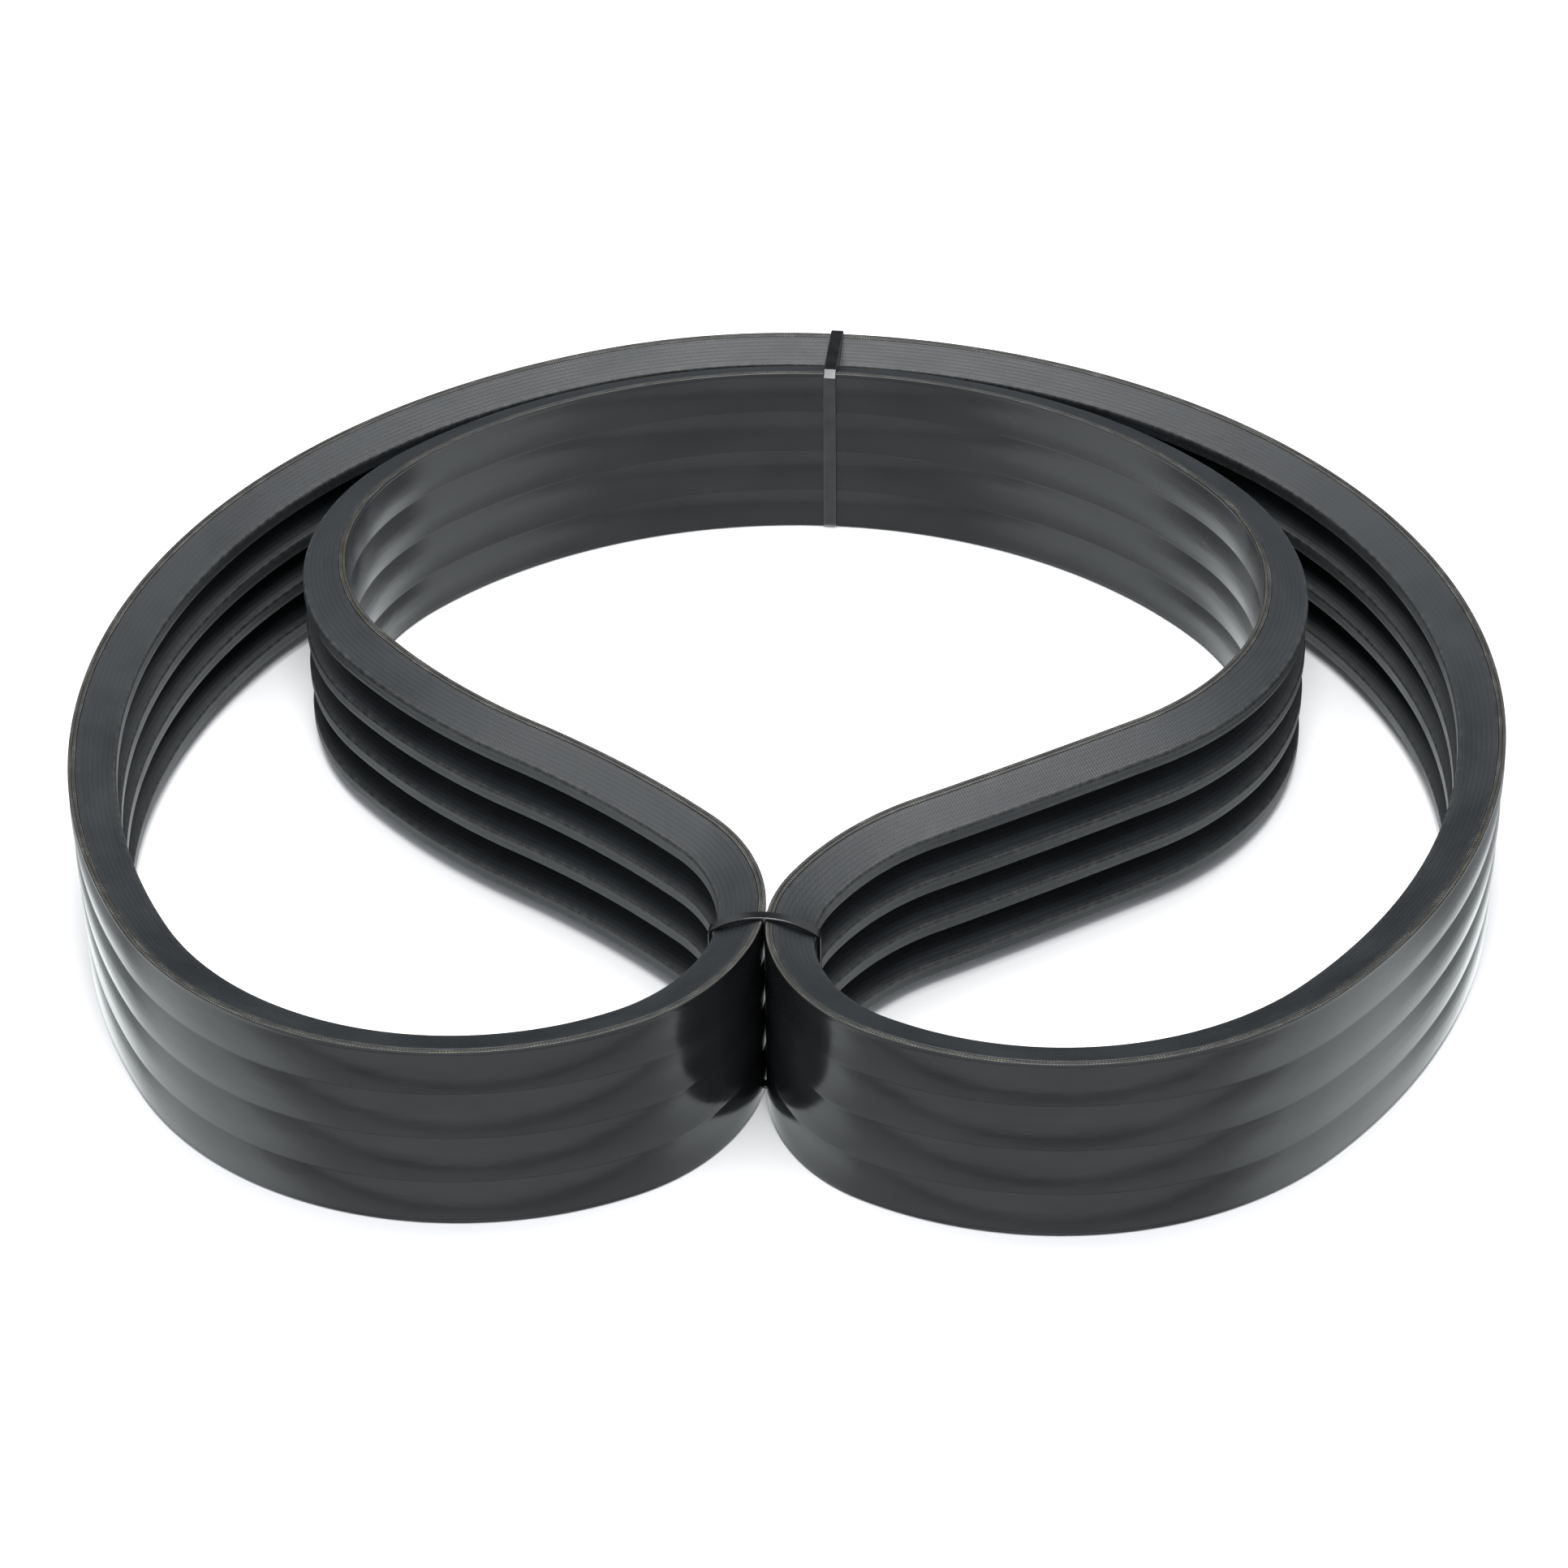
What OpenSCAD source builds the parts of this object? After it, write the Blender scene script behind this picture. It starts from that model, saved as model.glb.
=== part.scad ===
// A joined V belt: four wrapped V ribs under one tie band, folded into a loop within a loop
// and held by two cable ties. The belt stands on its lower edge, and +Z is across the ribs.

/* [Belt section] */
// Distance from one rib to the next
rib_pitch = 17.5; // [17.3:0.1:17.8]
// Width of one rib where it meets the band
rib_top_width = 15.9; // [15.6:0.1:16.2]
// Thickness of the whole belt, from its back to the tips of its ribs
belt_height = 15.6; // [15.2:0.1:15.8]
// Slope of each flank, half of the angle between a rib's two flanks
flank_angle = 21; // [19.5:0.5:21]
// Radius on the two tip corners of a rib
tip_radius = 1.2; // [0.9:0.1:1.3]
// Thickness of one of the tie band's two fabric plies
ply_thickness = 1.2; // [1:0.05:1.3]

/* [Inside a rib] */
// Thickness of the fabric cover wrapped round a rib
cover_thickness = 0.9; // [0.8:0.05:1]
// Depth of rubber between the cover and the cords' centre line
top_rubber_depth = 1.4; // [1.2:0.1:1.6]
// Depth of adhesion rubber under the cords' centre line
cord_rubber_depth = 1.6; // [1.4:0.1:2]
// Diameter of a tensile cord
cord_diameter = 1.5; // [1.3:0.05:1.6]
// Number of cords side by side in a rib
cord_count = 6; // [5:1:6]
// Bond line left between neighbouring layers
bond_gap = 0.05; // [0.03:0.01:0.08]

/* [Cable ties] */
// Width of the back tie's strap
back_tie_width = 4.8; // [4.4:0.1:5]
// Thickness of the back tie's strap
back_tie_thickness = 1.3; // [1.1:0.1:1.3]
// Width of the front tie's strap
front_tie_width = 3.6; // [3.4:0.1:3.8]
// Thickness of the front tie's strap
front_tie_thickness = 1.1; // [1:0.1:1.1]
// Height of the back tie's head above the floor
back_head_height = 36; // [28:1:44]
// Height of the front tie's head above the floor
front_head_height = 26; // [22:1:38]

/* [Hidden] */
$fn = 180;

// --- The belt's section: x is the depth from its back, y is the height above the floor ---

rib_count = 4;
belt_width = (rib_count - 1) * rib_pitch + rib_top_width;
band_depth = 2 * ply_thickness;
cover_top = band_depth + bond_gap;
cavity_top = cover_top + cover_thickness;
cord_line = cavity_top + bond_gap + top_rubber_depth;
core_top = cord_line + cord_rubber_depth;
cavity_bottom = belt_height - cover_thickness;
// What the cover takes off a rib's half width, measured along Z
cover_inset = cover_thickness / cos(flank_angle);
filling_inset = (cover_thickness + bond_gap) / cos(flank_angle);

// Half the width of a rib at a depth. The outer ply is cut square, and the slope starts under it.
function half_width(depth) = rib_top_width / 2 - (depth - ply_thickness) * tan(flank_angle);
function rib_middle(rib) = rib_top_width / 2 + (rib - 1) * rib_pitch;

cord_span = 2 * (half_width(cord_line) - filling_inset);
cord_pitch = cord_span / (cord_count + 0.2);

// --- The folded loop: a chain of tangent arcs along the belt's back, counterclockwise from the back ---

// The arcs: outer back left, left side, left lobe's front, nose and neck, left arm, entry to the
// inner loop, the loop's left, back and right, right arm, right lobe's neck, nose and front,
// right side, outer back right. Turns are in degrees, positive to the left.
SIDE_LEFT = 1;
FRONT_LEFT = 2;
NOSE_LEFT = 3;
ARM_LEFT = 5;
LOOP_BACK = 8;
ARM_RIGHT = 10;
NOSE_RIGHT = 12;
FRONT_RIGHT = 13;
SIDE_RIGHT = 14;
BACK_RIGHT = 15;
first_heading = 177;
TURNS = [24, 97, 88.5, 66.5, 38.5, 12, -18, -78.5, -104, -91.5, -2, 30, 89, 76, 88, 44.5];
// The two arms' radii are left at zero here: they follow from closing the loop
KNOWN_RADII = [201, 260, 123, 72, 68, 0, 255, 95, 181, 110, 0, 110, 60, 122, 242, 251];

function total(values, count) = count == 0 ? values[0] * 0 : values[count - 1] + total(values, count - 1);
function left_of(heading) = [-sin(heading), cos(heading)];
HEADINGS = [for (i = [0:len(TURNS)]) first_heading + total(TURNS, i)];
// What each arc adds to the chain for each millimetre of its radius
STEPS = [for (i = [0:len(TURNS) - 1]) sign(TURNS[i]) * (left_of(HEADINGS[i]) - left_of(HEADINGS[i + 1]))];
open_end = total([for (i = [0:len(TURNS) - 1]) KNOWN_RADII[i] * STEPS[i]], len(TURNS));
function cross2(a, b) = a[0] * b[1] - a[1] * b[0];
arms_cross = cross2(STEPS[ARM_LEFT], STEPS[ARM_RIGHT]);
arm_left_radius = -cross2(open_end, STEPS[ARM_RIGHT]) / arms_cross;
arm_right_radius = -cross2(STEPS[ARM_LEFT], open_end) / arms_cross;
RADII = [
    for (i = [0:len(TURNS) - 1])
        i == ARM_LEFT ? arm_left_radius : i == ARM_RIGHT ? arm_right_radius : KNOWN_RADII[i]
];
CHAIN = [
    for (i = [0:len(TURNS)])
        total([for (j = [0:len(TURNS) - 1]) RADII[j] * STEPS[j]], i)
];
function chain_centre(i) = CHAIN[i] + sign(TURNS[i]) * RADII[i] * left_of(HEADINGS[i]);

// --- The cable ties: where they cross the belt, still measured from the chain's first point ---

strap_clearance = 0.25;
strap_lift = 0.15;
back_tie_inner_x = 10.3;
back_tie_outer_x = 13.8;
function arc_back_y(i, x) = chain_centre(i)[1] + sqrt(pow(RADII[i], 2) - pow(x - chain_centre(i)[0], 2));
back_tie_inner = [back_tie_inner_x, arc_back_y(LOOP_BACK, back_tie_inner_x)];
back_tie_outer = [back_tie_outer_x, arc_back_y(BACK_RIGHT, back_tie_outer_x)];
back_tie_across = back_tie_outer - back_tie_inner;
back_tie_turn = atan2(-back_tie_across[0], back_tie_across[1]);
back_tie_half = norm(back_tie_across) / 2 + strap_clearance + back_tie_thickness;
back_tie_bend = 2.6;

// The front tie crosses where the two noses all but touch, square to the narrow gap between them
front_tie_shift = [0, -2.8];
front_tie_turn = -6;
nose_left_out = chain_centre(NOSE_LEFT) + [RADII[NOSE_LEFT], 0];
nose_right_out = chain_centre(NOSE_RIGHT) - [RADII[NOSE_RIGHT], 0];
front_tie_cross = (nose_left_out + nose_right_out) / 2 + front_tie_shift;
front_tie_across = [cos(front_tie_turn), sin(front_tie_turn)];
// How far a nose's rib tips are from that crossing, along the tie
function nose_tips(i, toward) =
    let (from = front_tie_cross - chain_centre(i), along = from * toward)
        -along - sqrt(pow(along, 2) - from * from + pow(RADII[i] - belt_height, 2));
nose_left_tips = nose_tips(NOSE_LEFT, -front_tie_across);
nose_right_tips = nose_tips(NOSE_RIGHT, front_tie_across);
front_tie_middle = front_tie_cross + front_tie_across * (nose_right_tips - nose_left_tips) / 2;
front_tie_half = (nose_left_tips + nose_right_tips) / 2 + strap_clearance + front_tie_thickness;
front_tie_bend = 3;
// Half of the angle that the strap arches through over the two noses, and under them
front_tie_arch = 36;
front_tie_low_arch = 26;

// A tie's head, in proportion to its strap
function head_length(width) = 1.6 * width;
function head_width(width) = 1.65 * width;
function head_depth(width) = 1.15 * width;
head_lift = 0.3;
// What is left of the cut tail outside the head
tail_stub = 1.6;

// --- The frame: the origin is under the middle of the whole part ---

back_tie_reach = back_tie_half + head_lift + head_depth(back_tie_width) + tail_stub;
back_tie_middle = (back_tie_inner + back_tie_outer) / 2;
low_x = chain_centre(SIDE_LEFT)[0] - RADII[SIDE_LEFT];
high_x = chain_centre(SIDE_RIGHT)[0] + RADII[SIDE_RIGHT];
front_left_y = chain_centre(FRONT_LEFT)[1] - RADII[FRONT_LEFT];
front_right_y = chain_centre(FRONT_RIGHT)[1] - RADII[FRONT_RIGHT];
low_y = min(front_left_y, front_right_y);
tail_corner = back_tie_width / 2 * abs(sin(back_tie_turn));
high_y = back_tie_middle[1] + back_tie_reach * cos(back_tie_turn) + tail_corner;
chain_start = -[low_x + high_x, low_y + high_y] / 2;

// --- Sweeping a section along a chain of arcs ---

// A place is given in three steps, whole, ten-thousandths and the rest, so that
// neighbouring arcs meet to the last digit.
function whole(value) = round(value);
function fine(value) = round((value - whole(value)) * 10000) / 10000;
function rest(value) = value - whole(value) - fine(value);
module place(x, y) {
    translate([whole(x), whole(y)])
        translate([fine(x), fine(y)])
            translate([rest(x), rest(y)])
                children();
}

// One arc of the chain. The section's x runs from the chain towards its left side.
module arc_run(from, heading, radius, turn) {
    centre = from + sign(turn) * radius * left_of(heading);
    start_angle = turn > 0 ? heading - 90 : heading + turn + 90;
    place(centre[0], centre[1])
        rotate_extrude(angle = abs(turn), start = start_angle)
            place(radius, 0)
                if (turn > 0) mirror([1, 0]) children();
                else children();
}

module along_belt() {
    for (i = [0:len(TURNS) - 1])
        arc_run(chain_start + CHAIN[i], HEADINGS[i], RADII[i], TURNS[i]) children();
}

// --- Sections of the layers ---

module outer_ply_section() {
    square([ply_thickness, belt_width]);
}

module inner_ply_section() {
    top = ply_thickness + bond_gap;
    low = rib_top_width / 2 - half_width(top);
    lower = rib_top_width / 2 - half_width(band_depth);
    polygon([[top, low], [band_depth, lower], [band_depth, belt_width - lower], [top, belt_width - low]]);
}

// A slice of a rib between two depths, drawn round the rib's middle
module rib_slice(top, bottom, inset) {
    wide = half_width(top) - inset;
    narrow = half_width(bottom) - inset;
    polygon([[top, -wide], [bottom, -narrow], [bottom, narrow], [top, wide]]);
}

// The outside of a rib, with round tip corners
module rib_outline() {
    corner_depth = belt_height - tip_radius;
    corner = half_width(corner_depth) - tip_radius / cos(flank_angle);
    flank_depth = corner_depth + tip_radius * sin(flank_angle);
    flank = corner + tip_radius * cos(flank_angle);
    wide = half_width(cover_top);
    polygon([
        [cover_top, -wide], [flank_depth, -flank], [belt_height, -corner],
        [belt_height, corner], [flank_depth, flank], [cover_top, wide]
    ]);
    for (side = [-1, 1])
        translate([corner_depth, side * corner]) circle(tip_radius);
}

module cord_circles(diameter) {
    for (i = [0:cord_count - 1])
        translate([cord_line, (i - (cord_count - 1) / 2) * cord_pitch])
            circle(d = diameter);
}

module cover_section() {
    difference() {
        rib_outline();
        rib_slice(cavity_top, cavity_bottom, cover_inset);
    }
}

module top_rubber_section() {
    difference() {
        rib_slice(cavity_top + bond_gap, cord_line - bond_gap / 2, filling_inset);
        cord_circles(cord_diameter + 2 * bond_gap);
    }
}

module cord_rubber_section() {
    difference() {
        rib_slice(cord_line + bond_gap / 2, core_top, filling_inset);
        cord_circles(cord_diameter + 2 * bond_gap);
    }
}

module core_section() {
    rib_slice(core_top + bond_gap, cavity_bottom - bond_gap, filling_inset);
}

// --- The belt's pieces ---

// A tight strap presses into the belt's edges where it turns over them and runs under them
bite_reach = 9;
module back_tie_bite() {
    half = back_tie_half;
    top = belt_width + strap_lift + back_tie_thickness;
    skin = back_tie_thickness + bond_gap;
    width = back_tie_width + 4 * bond_gap;
    corner_x = half - back_tie_bend;
    at_back_tie()
        difference() {
            translate([-half, -bite_reach, -width / 2])
                cube([2 * half, top + 2 * bite_reach, width]);
            translate([-corner_x, skin, -width])
                cube([2 * corner_x, top - 2 * skin, 2 * width]);
            translate([skin - half, back_tie_bend, -width])
                cube([2 * (half - skin), top - 2 * back_tie_bend, 2 * width]);
            for (x = [-corner_x, corner_x], y = [back_tie_bend, top - back_tie_bend])
                translate([x, y, -width])
                    cylinder(r = back_tie_bend - skin, h = 2 * width);
        }
}

module front_tie_bite() {
    width = front_tie_width + 4 * bond_gap;
    arch = front_arch_radius(front_tie_low_arch);
    at_front_tie()
        difference() {
            translate([-bite_reach, -bite_reach, -width / 2])
                cube([2 * bite_reach, bite_reach + 4 * front_tie_thickness, width]);
            translate([0, arch, -width])
                cylinder(r = arch - front_tie_thickness - bond_gap, h = 2 * width);
        }
}

module bitten() {
    difference() {
        children();
        back_tie_bite();
        front_tie_bite();
    }
}

module tie_band_outer_ply() {
    color("#3a3c3e") bitten() along_belt() outer_ply_section();
}

module tie_band_inner_ply() {
    color("#2e3032") bitten() along_belt() inner_ply_section();
}

// The lowest rib's cover is the one that the straps press into
module rib_cover(rib) {
    color("#3f4549") {
        if (rib == 1) bitten() along_belt() translate([0, rib_middle(rib)]) cover_section();
        else along_belt() translate([0, rib_middle(rib)]) cover_section();
    }
}

module rib_top_rubber(rib) {
    color("#1f1f20") along_belt() translate([0, rib_middle(rib)]) top_rubber_section();
}

module rib_cords(rib) {
    color("#b8ab8e") along_belt() translate([0, rib_middle(rib)]) cord_circles(cord_diameter);
}

module rib_cord_rubber(rib) {
    color("#2a2422") along_belt() translate([0, rib_middle(rib)]) cord_rubber_section();
}

module rib_core(rib) {
    color("#161617") along_belt() translate([0, rib_middle(rib)]) core_section();
}

// --- The cable ties. Each is drawn flat: x across the loop, y up, z along the strap's width ---

module at_back_tie() {
    middle = chain_start + back_tie_middle;
    translate([middle[0], middle[1], 0]) rotate([0, 0, back_tie_turn]) rotate([90, 0, 90]) children();
}

module at_front_tie() {
    middle = chain_start + front_tie_middle;
    translate([middle[0], middle[1], 0]) rotate([0, 0, front_tie_turn]) rotate([90, 0, 0]) children();
}

module strap_section(width, thickness) {
    translate([0, -width / 2]) square([thickness, width]);
}

// A straight run of strap, heading up, down, left or right. It is laid from both of its ends,
// in two lengths that overlap, so that each end meets its neighbour to the last digit.
run_share = 0.7;
function to_hundredths(value) = round(value * 100) / 100;
module straight_run(from, heading, length, width, thickness) {
    toward = [cos(heading), sin(heading)];
    side = left_of(heading) * thickness;
    piece = to_hundredths(length * run_share);
    for (start = [from, from + toward * (length - piece)])
        place(start[0], start[1])
            translate([min(0, toward[0] * piece, side[0]), min(0, toward[1] * piece, side[1]), -width / 2])
                cube([abs(toward[0] * piece + side[0]), abs(toward[1] * piece + side[1]), width]);
}

// A bend in the strap, which is outside its centre by the radius
module corner_run(centre, start_angle, radius, width, thickness, angle = 90) {
    place(centre[0], centre[1])
        rotate_extrude(angle = angle, start = start_angle)
            place(radius - thickness, 0) strap_section(width, thickness);
}

// The strap's outer face stands this far above the slot's lower edge
slot_play = 0.25;
tail_bend = 0.6;
tail_drop = 1.2;
tooth_pitch = 1.1;
tooth_depth = 0.4;
tooth_run = 0.7;
tooth_wall = 0.93;
first_tooth = 0.4;
tooth_count = 5;

// The tail's height where it turns out of the loop, and the slot that it passes through
function tail_turn(head_height) = head_height - tail_drop;
function slot_low(head_height) = tail_turn(head_height) + tail_bend - slot_play;
function slot_high(head_height, thickness) = tail_turn(head_height) + tail_bend + thickness + slot_play;

// The saw teeth cut into the face that the pawl holds
module tail_teeth(width) {
    for (i = [0:tooth_count - 1])
        translate([first_tooth + i * tooth_pitch, 0, -width])
            linear_extrude(2 * width)
                polygon([[0, 0], [tooth_run, -tooth_depth], [tooth_wall, 0], [tooth_wall, 1], [0, 1]]);
}

// The tail: up the outside, out through the slot, and cut off beyond the head
module tail(half, from_height, head_height, width, thickness) {
    turn_height = tail_turn(head_height);
    reach = head_lift + head_depth(width) + tail_stub;
    face = turn_height + tail_bend;
    straight_run([half, from_height], 90, turn_height - from_height, width, thickness);
    corner_run([half + tail_bend, turn_height], 90, tail_bend + thickness, width, thickness);
    difference() {
        straight_run([half + tail_bend, face], 0, reach - tail_bend, width, thickness);
        place(half + tail_bend, face + thickness) tail_teeth(width);
    }
}

// The head stands off the strap by head_lift, and its upper end runs into the strap's root
module head(half, head_height, width, thickness) {
    length = head_length(width);
    wide = head_width(width);
    deep = head_depth(width);
    low = slot_low(head_height);
    high = slot_high(head_height, thickness);
    pocket = pawl_height(width) + pawl_swing_room(width);
    difference() {
        union() {
            place(half + head_lift, head_height - length / 2)
                translate([0, 0, -wide / 2]) cube([deep, length, wide]);
            place(half - thickness, high)
                translate([0, 0, -wide / 2]) cube([deep + thickness, head_height + length / 2 - high, wide]);
        }
        translate([half - 2 * thickness, low, -width / 2 - slot_play])
            cube([deep + 4 * thickness, high - low, width + 2 * slot_play]);
        translate([half + pawl_start(width) - slot_play / 2, high - slot_play, -width / 2 - slot_play])
            cube([2 * deep, pocket, width + 2 * slot_play]);
    }
}

// --- The pawl: a tongue on a round knuckle at the slot's inner end, pointing the way the tail is pulled ---

function pawl_start(width) = 0.22 * width;
function pawl_height(width) = 0.28 * width;
function pawl_length(width) = 0.85 * width;
function pawl_swing_room(width) = 0.27 * width;
function knuckle_radius(width) = 0.17 * width;
pawl_play = 0.1;
// The knuckle's middle, which the pawl turns about
function pawl_hinge(half, head_height, width, thickness) = [
    half + pawl_start(width) + knuckle_radius(width),
    tail_turn(head_height) + tail_bend + thickness + 2 * pawl_play + knuckle_radius(width)
];

module pawl(half, head_height, width, thickness) {
    face = tail_turn(head_height) + tail_bend + thickness;
    high = pawl_height(width);
    wide = width - 2 * pawl_play;
    hinge = pawl_hinge(half, head_height, width, thickness);
    end = half + pawl_start(width) + pawl_length(width);
    translate([hinge[0], hinge[1], -wide / 2])
        cylinder(r = knuckle_radius(width), h = wide);
    translate([hinge[0], face + pawl_play, -wide / 2])
        cube([end - hinge[0], high, wide]);
    intersection() {
        difference() {
            translate([half + tail_bend, face - tooth_depth, -wide / 2])
                cube([end - half - tail_bend, tooth_depth + 2 * pawl_play, wide]);
            tooth_gaps(half, face, width);
        }
        translate([hinge[0] + knuckle_radius(width), face - high, -width])
            cube([end - hinge[0] - knuckle_radius(width), 2 * high, 2 * width]);
    }
}

// What is left between the pawl's own teeth, a little shallower than the strap's
module tooth_gaps(half, face, width) {
    for (i = [-1:tooth_count])
        translate([half + tail_bend + first_tooth + i * tooth_pitch, face + 2 * pawl_play, -width])
            linear_extrude(2 * width)
                polygon([
                    [tooth_run - tooth_pitch, -tooth_depth - 1], [tooth_run, -tooth_depth - 1],
                    [tooth_run, -tooth_depth], [0, 0], [tooth_wall - tooth_pitch, 0],
                    [tooth_run - tooth_pitch, -tooth_depth]
                ]);
}

// --- The two ties ---

module back_tie() {
    half = back_tie_half;
    bend = back_tie_bend;
    wide = back_tie_width;
    thick = back_tie_thickness;
    top = belt_width + strap_lift + thick;
    root = slot_high(back_head_height, thick);
    color("#121314")
        at_back_tie() {
            head(half, back_head_height, wide, thick);
            straight_run([half, root], 90, top - bend - root, wide, thick);
            corner_run([half - bend, top - bend], 0, bend, wide, thick);
            straight_run([half - bend, top], 180, 2 * (half - bend), wide, thick);
            corner_run([bend - half, top - bend], 90, bend, wide, thick);
            straight_run([-half, top - bend], 270, top - 2 * bend, wide, thick);
            corner_run([bend - half, bend], 180, bend, wide, thick);
            straight_run([bend - half, 0], 0, 2 * (half - bend), wide, thick);
            corner_run([half - bend, bend], 270, bend, wide, thick);
            tail(half, bend, back_head_height, wide, thick);
        }
}

function front_arch_radius(arch) = (front_tie_half - front_tie_bend * (1 - sin(arch))) / sin(arch);
// How far the bends' centres are from the arch's crown, measured up or down
function front_rise(arch) = front_arch_radius(arch) - (front_arch_radius(arch) - front_tie_bend) * cos(arch);

module front_tie() {
    half = front_tie_half;
    bend = front_tie_bend;
    wide = front_tie_width;
    thick = front_tie_thickness;
    top = belt_width + strap_lift + thick;
    high_arch = front_tie_arch;
    low_arch = front_tie_low_arch;
    high_radius = front_arch_radius(high_arch);
    low_radius = front_arch_radius(low_arch);
    high_bend = top - front_rise(high_arch);
    low_bend = front_rise(low_arch);
    root = slot_high(front_head_height, thick);
    color("#121314")
        at_front_tie() {
            head(half, front_head_height, wide, thick);
            straight_run([half, root], 90, high_bend - root, wide, thick);
            corner_run([half - bend, high_bend], 0, bend, wide, thick, 90 - high_arch);
            corner_run([0, top - high_radius], 90 - high_arch, high_radius, wide, thick, 2 * high_arch);
            corner_run([bend - half, high_bend], 90 + high_arch, bend, wide, thick, 90 - high_arch);
            straight_run([-half, high_bend], 270, high_bend - low_bend, wide, thick);
            corner_run([bend - half, low_bend], 180, bend, wide, thick, 90 - low_arch);
            corner_run([0, low_radius], 270 - low_arch, low_radius, wide, thick, 2 * low_arch);
            corner_run([half - bend, low_bend], 270 + low_arch, bend, wide, thick, 90 - low_arch);
            tail(half, low_bend, front_head_height, wide, thick);
        }
}

module back_tie_pawl() {
    color("#1c1d1f")
        at_back_tie() pawl(back_tie_half, back_head_height, back_tie_width, back_tie_thickness);
}

module front_tie_pawl() {
    color("#1c1d1f")
        at_front_tie() pawl(front_tie_half, front_head_height, front_tie_width, front_tie_thickness);
}

tie_band_outer_ply();
tie_band_inner_ply();
rib_cover(1);  // rib_1_cover
rib_top_rubber(1);  // rib_1_top_rubber
rib_cords(1);  // rib_1_cords
rib_cord_rubber(1);  // rib_1_cord_rubber
rib_core(1);  // rib_1_core
rib_cover(2);  // rib_2_cover
rib_top_rubber(2);  // rib_2_top_rubber
rib_cords(2);  // rib_2_cords
rib_cord_rubber(2);  // rib_2_cord_rubber
rib_core(2);  // rib_2_core
rib_cover(3);  // rib_3_cover
rib_top_rubber(3);  // rib_3_top_rubber
rib_cords(3);  // rib_3_cords
rib_cord_rubber(3);  // rib_3_cord_rubber
rib_core(3);  // rib_3_core
rib_cover(4);  // rib_4_cover
rib_top_rubber(4);  // rib_4_top_rubber
rib_cords(4);  // rib_4_cords
rib_cord_rubber(4);  // rib_4_cord_rubber
rib_core(4);  // rib_4_core
back_tie();
back_tie_pawl();
front_tie();
front_tie_pawl();
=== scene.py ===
"""The looks of a joined V belt, folded and held by two cable ties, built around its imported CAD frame."""

import math

import bmesh
import bpy
import numpy as np
from mathutils import Matrix, Vector


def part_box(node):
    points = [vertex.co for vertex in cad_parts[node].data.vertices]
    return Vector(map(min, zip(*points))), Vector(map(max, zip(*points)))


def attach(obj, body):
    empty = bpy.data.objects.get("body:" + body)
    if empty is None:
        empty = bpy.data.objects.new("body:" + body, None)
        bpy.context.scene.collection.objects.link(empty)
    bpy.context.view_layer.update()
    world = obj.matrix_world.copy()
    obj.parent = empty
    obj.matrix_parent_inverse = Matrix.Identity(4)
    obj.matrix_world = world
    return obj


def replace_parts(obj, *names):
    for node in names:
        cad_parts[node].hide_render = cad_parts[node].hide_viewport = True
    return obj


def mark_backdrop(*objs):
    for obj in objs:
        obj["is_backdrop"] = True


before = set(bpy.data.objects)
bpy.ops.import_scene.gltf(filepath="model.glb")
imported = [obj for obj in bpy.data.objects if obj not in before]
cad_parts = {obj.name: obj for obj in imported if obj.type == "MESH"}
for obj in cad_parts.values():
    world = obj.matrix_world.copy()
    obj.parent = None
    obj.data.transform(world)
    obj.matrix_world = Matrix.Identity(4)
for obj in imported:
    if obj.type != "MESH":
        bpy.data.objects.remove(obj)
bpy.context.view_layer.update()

MM = 0.001
BODY = "folded_belt"

# ---------------------------------------------------------------- the belt's sizes, as in the CAD

RIBS = 4
PITCH = 17.5 * MM
RIB_TOP = 15.9 * MM
BELT_HEIGHT = 15.6 * MM
PLY = 1.2 * MM
BOND = 0.05 * MM
COVER = 0.9 * MM
FLANK = math.radians(21)
TIP_RADIUS = 1.2 * MM
COVER_TOP = 2 * PLY + BOND

BAND_LOW, BAND_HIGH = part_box("tie_band_outer_ply")
WIDTH = BAND_HIGH.z - BAND_LOW.z

# The fold, counterclockwise from the back: radius in millimetres, and turn in degrees, positive to
# the left. The two arms' radii are open, and follow from closing the loop.
FIRST_HEADING = math.radians(177)
FOLD = [
    (201, 24), (260, 97), (123, 88.5), (72, 66.5), (68, 38.5), (None, 12), (255, -18), (95, -78.5),
    (181, -104), (110, -91.5), (None, -2), (110, 30), (60, 89), (122, 76), (242, 88), (251, 44.5),
]
SIDE_LEFT, FRONT_LEFT, NOSE_LEFT, LOOP_BACK = 1, 2, 3, 8
NOSE_RIGHT, FRONT_RIGHT, BACK_RIGHT = 12, 13, 15


def rib_middle(rib):
    """Height of a rib's middle above the floor, for ribs 0 to 3."""
    return RIB_TOP / 2 + rib * PITCH


def half_width(depth):
    """Half of a rib's width at a depth under the belt's back."""
    return RIB_TOP / 2 - (depth - PLY) * math.tan(FLANK)


def left_of(heading):
    return np.stack([-np.sin(heading), np.cos(heading)], axis=-1)


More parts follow.
